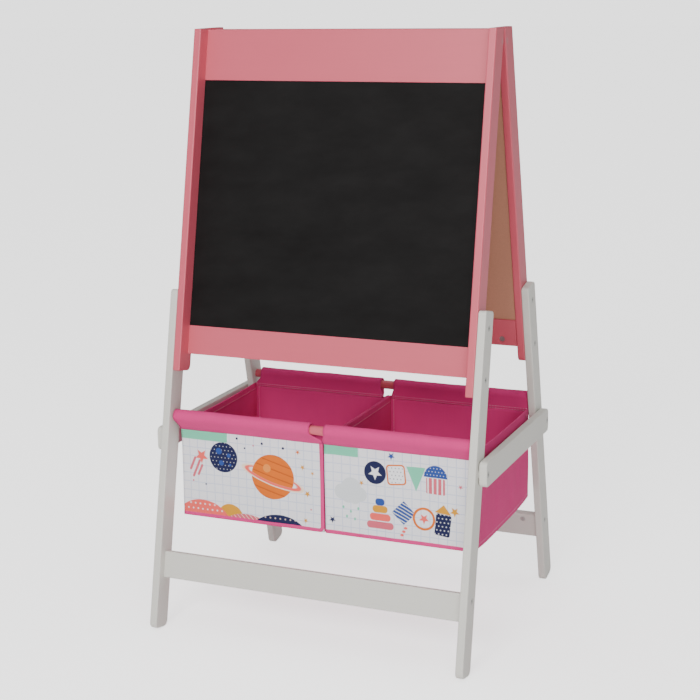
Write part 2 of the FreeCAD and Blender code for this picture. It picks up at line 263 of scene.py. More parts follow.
chalkboard = board(
    "chalk paint on fibreboard", (0.0, -cos(lean), sin(lean)),
    paint(20, 18, 18), paint(200, 142, 116), 0.62, 0.03, 0.15,
)
drawing_board = board(
    "white gloss on fibreboard", (0.0, cos(lean), sin(lean)),
    paint(236, 237, 236), paint(200, 142, 116), 0.16, 0.0, 0.5,
)
print("two boards")

# %% [markdown]
# ## Metal, nylon and raw beech
#
# The fittings are small: zinc plated bolts, barrel nuts and hinges, nylon spacers and raw wooden
# pins. Zinc plating is a mottled, slightly dull metal, so its roughness varies more than its colour.

# %% Small finishes
def zinc(name, colour, roughness):
    finish = Finish(name, Metallic=1.0)
    place = finish.place()
    mottle = finish.noise(place, 420.0, 3.0, 0.6)
    brushed = finish.noise(stretched(finish, place, (1.0, 0.0, 0.0), 2600.0, 160.0), 1.0, 2.0, 0.5)
    finish.set("Base Color", finish.mix(mottle, tuple(c * 0.8 for c in colour), colour))
    finish.set("Roughness", roughness + 0.18 * mottle)
    finish.bump(brushed, 0.00003)
    return finish.material


def plain(name, colour, roughness, scale):
    finish = Finish(name)
    place = finish.place()
    mottle = finish.noise(place, scale, 3.0, 0.6)
    finish.set("Base Color", finish.mix(mottle, tuple(c * 0.86 for c in colour), colour))
    finish.set("Roughness", roughness + 0.1 * mottle)
    finish.bump(mottle, 0.00005)
    return finish.material


zinc_bolt = zinc("zinc plated bolts", (0.60, 0.60, 0.57), 0.28)
zinc_hinge = zinc("zinc plated hinges", (0.66, 0.66, 0.63), 0.24)
nylon = plain("natural nylon", paint(222, 220, 212), 0.42, 300.0)
cap_pink = plain("pink bolt caps", paint(204, 120, 128), 0.40, 500.0)
beech = plain("raw beech", paint(202, 166, 120), 0.65, 700.0)
print("five small finishes")

# %% Give every wooden and metal piece its finish
def finish_of(name):
    rear = name.startswith("rear")
    if name.endswith("_panel"):
        return drawing_board if rear else chalkboard
    if "hinge" in name:
        return zinc_hinge
    if "bolts" in name or "screw" in name or "nuts" in name or "inserts" in name:
        return zinc_bolt
    if "spacers" in name:
        return nylon
    if "caps" in name:
        return cap_pink
    if "pins" in name:
        return beech
    if name.endswith("side_rail"):
        return grey_y
    if "leg" in name:
        return grey_rear if rear else grey_front
    if "crossbar" in name:
        return grey_x
    if "stile" in name:
        return pink_rear if rear else pink_front
    return pink_x


painted = 0
for name, piece in nodes.items():
    if "_bin_" in name:
        continue
    piece.data.materials.clear()
    piece.data.materials.append(finish_of(name))
    painted += 1
print(painted, "pieces painted")

# %% [markdown]
# ## Floor, light and camera
#
# The easel stands on a pale floor under soft studio light. One large lamp stands in front of the
# boards, so they are bright and the sides of the legs stay darker, and a weak one low on the
# right reaches into the bins. A very wide lamp overhead lights the floor evenly, and the world fills the
# shadows. Floor and world would look grey if they were only
# as bright as that fill needs, so the camera sees brighter ones than the pieces do.

# %% Floor
def flat_square(name, half):
    mesh = bpy.data.meshes.new(name)
    corners = [(-half, -half, 0), (half, -half, 0), (half, half, 0), (-half, half, 0)]
    mesh.from_pydata(corners, [], [(0, 1, 2, 3)])
    made = bpy.data.objects.new(name, mesh)
    bpy.context.scene.collection.objects.link(made)
    return made


GLOW = 1.48
floor = flat_square("floor", 30.0)
pale = Finish("pale floor", Roughness=0.9, Base_Color=(0.94, 0.94, 0.94), Emission_Strength=1.0)
seen_floor = pale.node("ShaderNodeLightPath", {}, out="Is Camera Ray")
pale.set("Emission Color", pale.mix(seen_floor, (0.0, 0.0, 0.0), (GLOW, GLOW, GLOW)))
floor.data.materials.append(pale.material)

# %% Lamps and world
def lamp(name, kind, place, target, watts):
    data = bpy.data.lights.new(name, kind)
    data.energy = watts
    made = bpy.data.objects.new(name, data)
    bpy.context.scene.collection.objects.link(made)
    made.location = place
    made.rotation_euler = (Vector(target) - Vector(place)).to_track_quat("-Z", "Y").to_euler()
    return data


key = lamp("key", "AREA", (0.1, -3.9, 2.5), (0, 0, 0.45), 116.0)
key.shape = "SQUARE"
key.size = 1.4
low = lamp("low", "AREA", (1.8, -3.1, 1.2), (0, 0, 0.35), 42.0)
low.shape = "SQUARE"
low.size = 1.4
sky = lamp("sky", "SUN", (0, 0, 4), (0, 0, 0), 1.35)
sky.angle = radians(70)
world = bpy.data.worlds.new("studio")
bpy.context.scene.world = world
world.use_nodes = True
studio = world.node_tree
fill = studio.nodes["Background"]
fill.inputs["Color"].default_value = (1, 1, 1, 1)
fill.inputs["Strength"].default_value = 0.28
seen = studio.nodes.new("ShaderNodeBackground")
seen.inputs["Color"].default_value = (1, 1, 1, 1)
seen.inputs["Strength"].default_value = 2.15
ray = studio.nodes.new("ShaderNodeLightPath")
both = studio.nodes.new("ShaderNodeMixShader")
studio.links.new(ray.outputs["Is Camera Ray"], both.inputs[0])
studio.links.new(fill.outputs[0], both.inputs[1])
studio.links.new(seen.outputs[0], both.inputs[2])
studio.links.new(both.outputs[0], studio.nodes["World Output"].inputs["Surface"])
print("three lamps and a world")

# %% Camera
camera_data = bpy.data.cameras.new("camera")
camera_data.lens = 80.46
camera_data.shift_y = -0.08
camera = bpy.data.objects.new("camera", camera_data)
bpy.context.scene.collection.objects.link(camera)
turn = Matrix.Rotation(radians(23.387), 4, "Z")
tip = Matrix.Rotation(radians(90 - 11.41), 4, "X")
roll = Matrix.Rotation(radians(-0.976), 4, "Z")
camera.matrix_world = Matrix.Translation((1.0077, -2.3450, 1.0575)) @ turn @ tip @ roll
bpy.context.scene.camera = camera
print("camera at", camera.location)

# %% [markdown]
# ## Cloth
#
# The bins are woven polyester. Up close it is a plain weave, threads over and under each other about
# half a millimetre apart. Each cloth piece gets a UV map in metres that follows the cut of the cloth,
# so the weave turns with every panel instead of sliding over it. Faint streaks along one thread
# direction, where the yarn's thickness varies, keep large areas from looking flat.

# %% Woven cloth finish
THREAD = 0.55 * MM


def weave(finish):
    """Height of a plain weave, from 0 to 1, on the cloth's own map."""
    u, v, _ = finish.parts(finish.cloth_place())
    warp = (u * (pi / THREAD)).maths("SINE")
    weft = (v * (pi / THREAD)).maths("SINE")
    return 0.5 + 0.5 * (warp * weft)


def woven(name, colour, roughness=0.72):
    finish = Finish(name, Sheen_Weight=0.04, Sheen_Roughness=0.5, Specular_IOR_Level=0.16)
    threads = weave(finish)
    flat = finish.cloth_place()
    soft = finish.noise(finish.place(), 18.0, 3.0, 0.55)
    slub = finish.noise(flat, 700.0, 2.0, 0.6)
    streak = finish.noise(finish.vector("MULTIPLY", flat, (340.0, 12.0, 1.0)), 1.0, 3.0, 0.6)
    dark = tuple(c * 0.74 for c in colour)
    light = tuple(min(1.0, c * 1.06) for c in colour)
    # The weave's low places are painted darker, as painted shade between the threads; soft, slub and streak are
    # random tone in the yarn.
    share = 0.25 * threads + 0.3 * soft + 0.25 * slub + 0.2 * streak
    finish.set("Base Color", finish.mix(share, dark, light))
    finish.set("Roughness", roughness + 0.12 * slub)
    finish.bump(threads + 0.5 * slub + 0.8 * streak, 0.00018)
    return finish.material


MAGENTA = paint(228, 64, 134)
cloth = woven("magenta cloth", MAGENTA)
# The binding is the same cloth as the body, but its colour is a little lighter: painted light on the folded rims and
# panel edges.
binding_cloth_with_painted_light = woven("magenta binding", paint(232, 68, 138), 0.62)
pale_thread = plain("pale pink thread", paint(246, 168, 200), 0.6, 2000.0)
magenta_thread = plain("magenta thread", paint(222, 74, 136), 0.6, 2000.0)
print("cloth finishes")

# %% [markdown]
# ## A sheet of cloth as a grid
#
# Every cloth piece is a grid of points: rows up the cloth and columns across it, with the distance
# along the cloth kept as its UV map. A closed grid joins its last column to its first. Thickness is
# added afterwards with Solidify, which needs the faces to point outwards first.

# %% Grid helpers
def grid_piece(name, rows, across, up, finish, closed=False):
    """A mesh from rows of points, with its distances across and up in a UV map called cloth."""
    count = len(rows[0])
    spans = count if closed else count - 1
    faces = []
    corners = []
    for i in range(len(rows) - 1):
        for j in range(spans):
            k = (j + 1) % count
            faces.append((i * count + j, i * count + k, (i + 1) * count + k, (i + 1) * count + j))
            corners += [(across[j], up[i]), (across[j + 1], up[i])]
            corners += [(across[j + 1], up[i + 1]), (across[j], up[i + 1])]
    mesh = bpy.data.meshes.new(name)
    mesh.from_pydata([p for row in rows for p in row], [], faces)
    uv = mesh.uv_layers.new(name="cloth")
    for loop, corner in zip(uv.data, corners):
        loop.uv = corner
    mesh.shade_smooth()
    mesh.materials.append(finish)
    made = bpy.data.objects.new(name, mesh)
    bpy.context.scene.collection.objects.link(made)
    return made


def close_rings(made, count, rings):
    """Fill the ends of a closed grid. Each ring is named by its first point's number."""
    work = bmesh.new()
    work.from_mesh(made.data)
    work.verts.ensure_lookup_table()
    for first in rings:
        points = [work.verts[first + k] for k in range(count)]
        face = work.faces.new(points if first else list(reversed(points)))
        face.smooth = True
        bmesh.ops.triangulate(work, faces=[face])
    work.to_mesh(made.data)
    work.free()


def settled(made):
    """The same piece with its modifiers turned into plain mesh."""
    bpy.context.view_layer.update()
    evaluated = made.evaluated_get(bpy.context.evaluated_depsgraph_get())
    made_plain = bpy.data.meshes.new_from_object(evaluated)
    made.modifiers.clear()
    made.data = made_plain
    return made


def thickened(made, thickness, offset):
    wall = made.modifiers.new("thickness", "SOLIDIFY")
    wall.thickness = thickness
    wall.offset = offset
    return settled(made)


def distances(points):
    run = [0.0]
    for a, b in zip(points, points[1:]):
        run.append(run[-1] + (b - a).length)
    return run


def steps(low, high, count):
    return [low + (high - low) * k / count for k in range(count + 1)]


def ease(share):
    share = max(0.0, min(1.0, share))
    return share * share * (3 - 2 * share)


# %% [markdown]
# ## The bin bodies
#
# A bin body is one sewn shell: a rounded rectangle that goes round four walls, closed below by a
# stiffened bottom. Five flat plates would look wrong, because real cloth ripples between its seams.
# So the outline is walked once round, lifted in rows from the bottom to the rim, and every point is
# pushed a millimetre or two by smooth noise that dies away at the seams. The bottom sags a little
# below the front panel's hem. Nothing is simulated: the cloth is stiff and stretched between two
# dowels, so its shape is known, and a noise ripple gives the rest.

# %% Where the bins are
WALL_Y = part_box("left_bin_rear_wall")[1].y
RIM_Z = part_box("left_bin_side_walls")[1].z
BOTTOM_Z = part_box("left_bin_base")[0].z
FRONT_SEAM_Z = front_dowel.z - 23.4 * MM
REAR_SEAM_Z = rear_dowel.z - 22.0 * MM
HEM_Z = BOTTOM_Z + 0.5 * MM
CLOTH = 1.3 * MM
CORNER_BEND = 3.0 * MM
BIN_X = {"left": (-256.0 * MM, 4.4 * MM), "right": (5.6 * MM, 260.0 * MM)}
SEED = {"left": 3.1, "right": 8.7}
print("walls at", round(WALL_Y, 4), "rim", round(RIM_Z, 4), "bottom", round(BOTTOM_Z, 4))


def ripple(point, seed):
    """How far the cloth is pushed, in metres, at a point."""
    broad = noise.noise(Vector((point.x * 14, point.y * 14, point.z * 7 + seed)))
    fine = noise.noise(Vector((point.x * 46, point.y * 46, point.z * 11 + seed * 2)))
    return (2.3 * broad + 1.4 * fine) * MM


def rim_height(y):
    """The side rims dip between the dowels."""
    return RIM_Z - 2.2 * MM * (1 - (y / WALL_Y) ** 2) - 1.0 * MM * y / WALL_Y


def hem_height(y):
    """Bottom edge of the walls, sagging between the front and the rear."""
    return HEM_Z - 5.5 * MM * (1 - (y / WALL_Y) ** 4)


def seam_height(y):
    return FRONT_SEAM_Z if y < 0 else REAR_SEAM_Z


# %% The outline of a bin, walked once round
def outline(x0, x1, y0, y1, radius, spacing):
    """(place, outward direction) pairs round a rounded rectangle, from the middle of the rear wall."""
    path = []

    def straight(a, b, out):
        count = max(2, round((Vector(b) - Vector(a)).length / spacing))
        for k in range(count):
            path.append((Vector(a).lerp(Vector(b), k / count), Vector(out)))

    def corner(cx, cy, start):
        for k in range(5):
            angle = start + k / 5 * pi / 2
            out = Vector((cos(angle), sin(angle)))
            path.append((Vector((cx, cy)) + radius * out, out))

    middle = (x0 + x1) / 2
    straight((middle, y1), (x0 + radius, y1), (0, 1))
    corner(x0 + radius, y1 - radius, pi / 2)
    straight((x0, y1 - radius), (x0, y0 + radius), (-1, 0))
    corner(x0 + radius, y0 + radius, pi)
    straight((x0 + radius, y0), (x1 - radius, y0), (0, -1))
    corner(x1 - radius, y0 + radius, 1.5 * pi)
    straight((x1, y0 + radius), (x1, y1 - radius), (1, 0))
    corner(x1 - radius, y1 - radius, 0)
    straight((x1 - radius, y1), (middle, y1), (0, 1))
    return path


def spread(flat):
    """How far the cloth is pulled sideways, because the outer walls stand wider at the rear."""
    pull = 4.4 * MM if flat.x < 0 else 1.0 * MM
    return copysign(pull * abs(flat.x) / (260 * MM) * ease((flat.y + WALL_Y) / (2 * WALL_Y)), flat.x)


def wall_point(flat, out, height, seed):
    """A point of the bin's wall, pushed by the ripple."""
    point = Vector((flat.x + spread(flat), flat.y, height))
    share = min(1.0, (height - BOTTOM_Z) / (30 * MM), (FRONT_SEAM_Z - height) / (20 * MM))
    inward = -0.3 * MM if abs(out.x) > 0.5 else 0.0
    push = min(0.4 * MM, ripple(point, seed) * max(0.0, share) + inward)
    return point + Vector((out.x, out.y, 0)) * push


# %% Build the bin bodies
WALL_ROWS = 26
BOTTOM_SHARES = (0.02, 0.2, 0.4, 0.6, 0.8, 0.92, 0.985)


def bin_body(side):
    x0, x1 = BIN_X[side]
    seed = SEED[side]
    path = outline(x0, x1, -WALL_Y, WALL_Y, CORNER_BEND, 6 * MM)
    centre = Vector(((x0 + x1) / 2, 0))
    rows = []
    for share in BOTTOM_SHARES:
        row = []
        for flat, out in path:
            place = centre + (flat - centre) * share
            lift = ripple(Vector((place.x, place.y, 0)), seed) * 0.5 * (1 - share)
            level = hem_height(flat.y) * share ** 4 + (BOTTOM_Z - 4.0 * MM) * (1 - share ** 4)
            row.append(Vector((place.x + spread(flat) * share, place.y, level + lift)))
        rows.append(row)
    for k in range(WALL_ROWS):
        row = []
        for flat, out in path:
            low = hem_height(flat.y) + 1.5 * MM
            top = rim_height(flat.y)
            if abs(out.x) <= 0.5:
                inset = min(flat.x - x0, x1 - flat.x)
                rise = ease((12 * MM - inset) / (9 * MM)) if out.y > 0 else 0.0
                top = top * rise + (seam_height(flat.y) + 1.5 * MM) * (1 - rise)
            row.append(wall_point(flat, out, low + (top - low) * k / (WALL_ROWS - 1), seed))
        rows.append(row)
    loop = [Vector((p.x, p.y, 0)) for p, _ in path]
    body = grid_piece(side + "_bin_body", rows, distances(loop + loop[:1]),
                      distances([row[0] for row in rows]), cloth, closed=True)
    close_rings(body, len(path), [0])
    return thickened(body, CLOTH, -1.0)


bodies = {side: bin_body(side) for side in ("left", "right")}
for side, body in bodies.items():
    print(side, "bin body", len(body.data.polygons), "faces")

# %% [markdown]
# ## The printed front panels
#
# The white front panels are printed with playful shapes on squared paper. The shapes here are plain
# geometry: planets, stars and hills on one bin, and toys on the other. Each is a formula on the
# cloth's own map, a distance from an edge, so the print stays sharp however close one looks.
# Painting them as thin raised pieces would catch the light, which ink does not.

# %% Shapes as formulas
class Print(Finish):
    """White cloth with shapes printed on it. Places and sizes are in millimetres on the panel."""

    def begin(self):
        flat = self.cloth_place()
        wobble = self.noise(flat, 160.0, 1.0, 0.5)
        u, v, _ = self.parts(flat)
        self.u = u * 1000.0 + (wobble - 0.5) * 0.5
        self.v = v * 1000.0 + (wobble - 0.5) * 0.5
        self.ink = paint(242, 242, 247)

    def stamp(self, mask, colour):
        self.ink = self.mix(mask, self.ink, colour)

    def offset(self, x, y, turn=0.0):
        """Place measured from (x, y), turned by degrees."""
        a, b = self.u - x, self.v - y
        if not turn:
            return a, b
        c, s = cos(radians(turn)), sin(radians(turn))
        return a * c + b * s, b * c - a * s

    def radius(self, a, b):
        return (a * a + b * b).power(0.5)

    def disc(self, x, y, size, wide=1.0, turn=0.0):
        a, b = self.offset(x, y, turn)
        return self.radius(a / wide, b).below(size, 0.6)

    def ring(self, x, y, size, thick):
        a, b = self.offset(x, y)
        return (self.radius(a, b) - size).size().below(thick / 2, 0.6)

    def block(self, x, y, width, height, turn=0.0, corner=3.0):
        a, b = self.offset(x, y, turn)
        p = (a.size() - (width / 2 - corner)).maths("MAXIMUM", 0.0)
        q = (b.size() - (height / 2 - corner)).maths("MAXIMUM", 0.0)
        return self.radius(p, q).below(corner, 0.6)

    def wedge(self, x, y, width, height, turn=0.0):
        """A triangle standing on its base, centred on (x, y)."""
        a, b = self.offset(x, y, turn)
        slope = width / height / 2
        sides = a.size() + (b - height / 2) * slope
        return sides.below(0.0, 0.6) * b.above(-height / 2, 0.6)

    def star(self, x, y, size):
        a, b = self.offset(x, y)
        angle = b.maths("ARCTAN2", a) + (5 * pi - pi / 2)
        sector = angle.maths("FLOORED_MODULO", 2 * pi / 5) - pi / 5
        reach = self.radius(a, b)
        notch = 0.45 * size
        p = reach * sector.maths("COSINE")
        q = reach * sector.maths("SINE").size()
        edge_p, edge_q = size * cos(pi / 5) - notch, size * sin(pi / 5)
        side = (p - notch) * edge_q - q * edge_p
        return side.below(0.0, 0.8 * size)

    def dots(self, pitch, size):
        """A field of small dots, set in a brick pattern."""
        row = (self.v / pitch).maths("FLOOR")
        a = (self.u / pitch + row * 0.5).maths("FLOORED_MODULO", 1.0) - 0.5
        b = (self.v / pitch).maths("FLOORED_MODULO", 1.0) - 0.5
        return self.radius(a, b).below(size / pitch, 0.2)

    def stripes(self, value, pitch, share=0.5):
        return (value / pitch).maths("FLOORED_MODULO", 1.0).below(share, 0.12)

    def squares(self, pitch, thick):
        a = (self.u / pitch + 0.5).maths("FLOORED_MODULO", 1.0) - 0.5
        b = (self.v / pitch + 0.5).maths("FLOORED_MODULO", 1.0) - 0.5
        return a.size().maths("MINIMUM", b.size()).below(thick / pitch, thick / pitch)

    def end(self):
        threads = weave(self)
        # The ink is multiplied a little darker where the weave is low: painted shade between the threads.
        shaded = self.node("ShaderNodeMix", {"data_type": "RGBA", "blend_type": "MULTIPLY"}, 0.12)
        sockets = shaded.socket.node
        self.feed(sockets.inputs[6], self.ink)
        self.feed(sockets.inputs[7], self.mix(threads, (0.6, 0.6, 0.6), (1.0, 1.0, 1.0)))
        self.set("Base Color", Value(self, sockets.outputs[2]))
        self.set("Roughness", 0.62 + 0.08 * threads)
        self.bump(threads, 0.00012)
        return self.material


NAVY = paint(24, 30, 72)
ROYAL = paint(44, 74, 148)
MINT = paint(112, 204, 168)
CORAL = paint(246, 96, 88)
ROSE = paint(214, 96, 112)
ORANGE = paint(222, 108, 24)
MUSTARD = paint(216, 150, 36)
PALE = paint(216, 220, 224)
CREAM = paint(250, 224, 200)
WHITE = paint(246, 246, 250)
RULE = paint(206, 212, 232)
print("eleven inks")

# %% Planets, stars and hills
def planet_print():
    p = Print("planet print", Sheen_Weight=0.05, Specular_IOR_Level=0.3)
    p.begin()
    p.stamp(p.squares(15.0, 0.6), RULE)
    p.stamp(p.block(40, 144, 92, 20, corner=1), MINT)
    for x, y, size, colour in [
        (104, 143, 2.0, NAVY), (134, 134, 1.4, ROSE), (150, 139, 2.2, NAVY), (188, 135, 2.2, NAVY),
        (20, 62, 1.6, ROSE), (44, 58, 1.6, NAVY), (118, 128, 1.6, NAVY), (236, 36, 1.5, ROSE),
    ]:
        p.stamp(p.disc(x, y, size), colour)
    for x, y, size, colour in [
        (214, 131, 4.5, ORANGE), (222, 106, 5.0, MUSTARD), (240, 98, 3.4, MUSTARD),
        (230, 62, 6.0, MUSTARD), (226, 16, 4.5, MUSTARD), (122, 96, 5.0, CORAL),
    ]:
        p.stamp(p.star(x, y, size), colour)
    moon = p.disc(78, 108, 26)
    p.stamp(moon, NAVY)
    p.stamp(moon * p.dots(6.5, 0.55), WHITE)
    for x, y, size in [(70, 118, 5.5), (88, 112, 3.6), (74, 98, 4.4), (90, 96, 2.4)]:
        p.stamp(p.disc(x, y, size), ROYAL)
    for x, y, long in [(20, 92, 26), (27, 84, 34), (34, 82, 22)]:
        p.stamp(p.block(x, y, 4.2, long, turn=-24, corner=2.1), ROSE)
    p.stamp(p.star(37, 106, 13), CORAL)
    ball = p.disc(168, 84, 38)
    p.stamp(ball, ORANGE)
    p.stamp(ball * p.stripes(p.v + p.u * 0.28, 13.0, 0.16), paint(190, 84, 20))
    p.stamp(ball * p.disc(158, 98, 7), paint(236, 140, 60))
    tilt = -16
    across, above = p.offset(168, 82, tilt)
    hoop = p.disc(168, 82, 13, wide=4.5, turn=tilt) * (1 - p.disc(168, 83, 8, wide=5.6, turn=tilt))
    behind = ball * above.above(0.0, 0.6)
    p.stamp(hoop * (1 - behind), CREAM)
    p.stamp(hoop * (1 - behind) * p.disc(168, 82, 11.2, wide=4.7, turn=tilt), CORAL)
    p.stamp(p.disc(88, 4, 24), MUSTARD)
    hill = p.disc(36, -30, 60)
    p.stamp(hill, CORAL)
    p.stamp(hill * p.dots(9.0, 1.3), WHITE)
    meadow = p.disc(118, -24, 38, wide=1.4)
    p.stamp(meadow, ROSE)
    p.stamp(meadow * p.stripes(p.u + p.v, 8.0, 0.16), CREAM)
    ridge = p.disc(178, -38, 58, wide=1.1)
    p.stamp(ridge, NAVY)
    p.stamp(ridge * p.dots(9.0, 1.0), CREAM)
    return p.end()


# %% Toys
def toy_print():
    p = Print("toy print", Sheen_Weight=0.05, Specular_IOR_Level=0.3)
    p.begin()
    p.stamp(p.squares(15.0, 0.6), RULE)
    p.stamp(p.block(28, 144, 62, 20, corner=1), MINT)
    for x, y, size, colour in [
        (12, 24, 6.0, NAVY), (222, 62, 8.5, MUSTARD), (116, 142, 6.5, ROYAL), (64, 92, 4.5, MUSTARD),
        (232, 104, 4.0, ROSE),
    ]:
        p.stamp(p.star(x, y, size), colour)
    for x, y, size in [(30, 74, 13), (46, 82, 17), (61, 72, 12), (40, 67, 11), (52, 66, 11)]:
        p.stamp(p.disc(x, y, size), PALE)
    for x, y in [(32, 48), (45, 42), (58, 48), (38, 33), (52, 30)]:
        p.stamp(p.disc(x, y, 2.6, wide=0.7), MINT)
    p.stamp(p.disc(88, 112, 19), NAVY)
    p.stamp(p.star(88, 112, 12), WHITE)
    p.stamp(p.block(124, 112, 32, 34, turn=5, corner=6), ORANGE)
    p.stamp(p.block(124, 112, 27, 29, turn=5, corner=4), WHITE)
    p.stamp(p.block(124, 112, 25, 27, turn=5, corner=3) * p.dots(6.0, 0.8), NAVY)
    p.stamp(p.wedge(157, 108, 32, 40, turn=180), MINT)
    box = p.block(190, 100, 32, 26, corner=2)
    p.stamp(box, ROSE)
    p.stamp(box * p.stripes(p.u, 8.0, 0.3), WHITE)
    dome = p.disc(190, 114, 20) * p.v.above(114.0, 0.6)
    p.stamp(dome, ROYAL)
    p.stamp(dome * p.dots(5.5, 0.6), WHITE)
    for y, wide, colour in [(25, 46, ROSE), (38.5, 36, CORAL), (52, 26, MUSTARD), (64, 16, ROYAL)]:
        p.stamp(p.block(96, y, wide, 12, corner=5.5), colour)
    kite = p.block(136, 50, 28, 28, turn=45, corner=1.5)
    p.stamp(kite, ROYAL)
    p.stamp(kite * p.stripes(p.v + p.u * 0.5, 6.0, 0.3), PALE)
    for y in (25, 19, 13):
        p.stamp(p.disc(136 + (y - 19) * 0.5, y, 2.2, wide=1.4), CORAL)
    p.stamp(p.ring(170, 44, 17, 4.0), ORANGE)
    p.stamp(p.star(170, 44, 9), CORAL)
    tile = p.block(202, 38, 26, 36, turn=-6, corner=3)
    p.stamp(tile, NAVY)
    p.stamp(tile * p.dots(6.5, 0.9), WHITE)
    p.stamp(p.wedge(203, 64, 28, 15, turn=-6), MUSTARD)
    return p.end()


prints = {"left": planet_print(), "right": toy_print()}
for material in prints.values():
    print(material.name, len(material.node_tree.nodes), "nodes")

# %% Cut and hang the front panels
def front_place(side, x, z, proud):
    """A point on the front wall, standing proud of it."""
    point = wall_point(Vector((x, -WALL_Y)), Vector((0, -1)), z, SEED[side])
    return point + Vector((0, -proud, 0))


PANEL_X = {side: (x0 + 0.6 * MM, x1 - 0.8 * MM) for side, (x0, x1) in BIN_X.items()}


def front_panel(side):
    columns = steps(*PANEL_X[side], 60)
    heights = steps(HEM_Z, FRONT_SEAM_Z + 2 * MM, 34)
    rows = [[front_place(side, x, z, 0.2 * MM) for x in columns] for z in heights]
    across = [x - columns[0] for x in columns]
    up = [z - heights[0] for z in heights]
    return thickened(grid_piece(side + "_bin_print", rows, across, up, prints[side]), 0.5 * MM, 1.0)


panels = {side: front_panel(side) for side in ("left", "right")}
print("two printed panels")

# %% [markdown]
# ## The dowel sleeves
#
# Each bin hangs by two sleeves, one round each dowel. A sleeve is a strip of cloth folded over the
# dowel and sewn to the bin's wall below, so from its end it looks like a drop: a round top, and two
# sides that meet at the seam. The drop's outline comes from the two lines that leave the seam and
# just touch a circle round the dowel. Its length changes from the top to the seam: the dowel shows
# between the bins, but the seam runs the whole width of the bin.

# %% Build the sleeves
SLEEVE_RADIUS = 9.0 * MM
SLEEVE_CLOTH = 1.4 * MM


def drop_outline(radius, seam, rise):
    """Points (outward, up) from the seam up the outer side, over the top and back to the seam."""
    centre = Vector((0.0, rise))
    reach = seam - centre
    base = atan2(reach.y, reach.x)
    spread = acos(radius / reach.length)
    start, stop = base + spread, base - spread + 2 * pi
    first = centre + radius * Vector((cos(start), sin(start)))
    points = [seam.lerp(first, k / 6) for k in range(6)]
    for angle in steps(start, stop, 26):
        points.append(centre + radius * Vector((cos(angle), sin(angle))))
    return points + [points[-1].lerp(seam, k / 6) for k in range(1, 7)]


def sleeve(name, dowel, facing, top_x, seam_x, seed):
    """A sleeve round a dowel. facing is -1 at the front and 1 at the rear."""
    seam = Vector((WALL_Y - abs(dowel.y), seam_height(facing) - dowel.z))
    drop = drop_outline(SLEEVE_RADIUS, seam, 1.2 * MM)
    rows = []
    for point in drop:
        low = ease((-3 * MM - point.y) / (14 * MM))
        x0 = top_x[0] + (seam_x[0] - top_x[0]) * low
        x1 = top_x[1] + (seam_x[1] - top_x[1]) * low
        row = []
        for x in steps(x0, x1, 56):
            crease = noise.noise(Vector((x * 26 + seed, point.x * 70, point.y * 50)))
            fine = noise.noise(Vector((x * 90 + seed, point.x * 90, point.y * 90)))
            swell = Vector((point.x, point.y)).normalized() * (0.7 * crease + 0.25 * fine) * MM
            row.append(Vector((x, dowel.y + facing * (point.x + swell.x), dowel.z + point.y + swell.y)))
        rows.append(row)
    across = [x - seam_x[0] for x in steps(*seam_x, 56)]
    if facing > 0:
        rows = [list(reversed(row)) for row in rows]
    up = distances([row[20] for row in rows])
    return thickened(grid_piece(name, rows, across, up, cloth), SLEEVE_CLOTH, 1.0)


FRONT_TOP = {"left": (-260.0 * MM, -12.6 * MM), "right": (12.4 * MM, 260.0 * MM)}
REAR_TOP = {"left": (-249.0 * MM, -12.6 * MM), "right": (12.4 * MM, 259.0 * MM)}
REAR_SEAM = {"left": (-259.0 * MM, -8.5 * MM), "right": (8.5 * MM, 259.6 * MM)}
front_sleeves = {}
rear_sleeves = {}
for side, span in BIN_X.items():
    front_sleeves[side] = sleeve(side + "_bin_front_sleeve", front_dowel, -1, FRONT_TOP[side], span, 1.0)
    rear_sleeves[side] = sleeve(side + "_bin_back_sleeve", rear_dowel, 1, REAR_TOP[side], REAR_SEAM[side], 5.0)
print("four sleeves")

# %% [markdown]
# ## Binding
#
# A strip of the same cloth is folded over the raw edges: along the bottom and one side of each
# printed panel, and over both side rims. It is a closed profile carried along a path. Each station of
# the path says where the strip is and which ways are across it and out of it.

# %% Carry a profile along a path
def swept(name, stations, profile, finish):
    """A closed (across, out) profile carried along (place, across, out) stations."""
    rows = []
    for place, across, out, *flare in stations:
        row = []
        for a, b in profile:
            push = flare[0] * max(0.0, -b) / RIM_FOLD if flare and a > CLOTH / 2 - 0.2 * MM else 0.0
            row.append(place + (a + push) * across + b * out)
        rows.append(row)
    ring = rows[0] + rows[0][:1]
    made = grid_piece(name, rows, distances(ring), distances([row[0] for row in rows]), finish, closed=True)
    close_rings(made, len(profile), [0, (len(rows) - 1) * len(profile)])
    work = bmesh.new()
    work.from_mesh(made.data)
    bmesh.ops.recalc_face_normals(work, faces=work.faces)
    work.to_mesh(made.data)
    work.free()
    return made


def strip_profile(inner, outer, low, high):
    """A flat strip with rounded edges, from inner to outer across and low to high out."""
    soft = min((high - low) / 2, (outer - inner) / 2) * 0.9
    return [
        (inner, low), (inner, high - soft), (inner + soft * 0.4, high - soft * 0.35),
        (inner + soft, high), ((inner + outer) / 2, high + 0.15 * MM), (outer - soft, high),
        (outer - soft * 0.3, high - soft * 0.35), (outer, high - soft), (outer, low),
    ]


# %% Bind the printed panels
BINDING = 6.5 * MM
CORNER = 9.0 * MM
X, Y, Z = Vector((1, 0, 0)), Vector((0, 1, 0)), Vector((0, 0, 1))


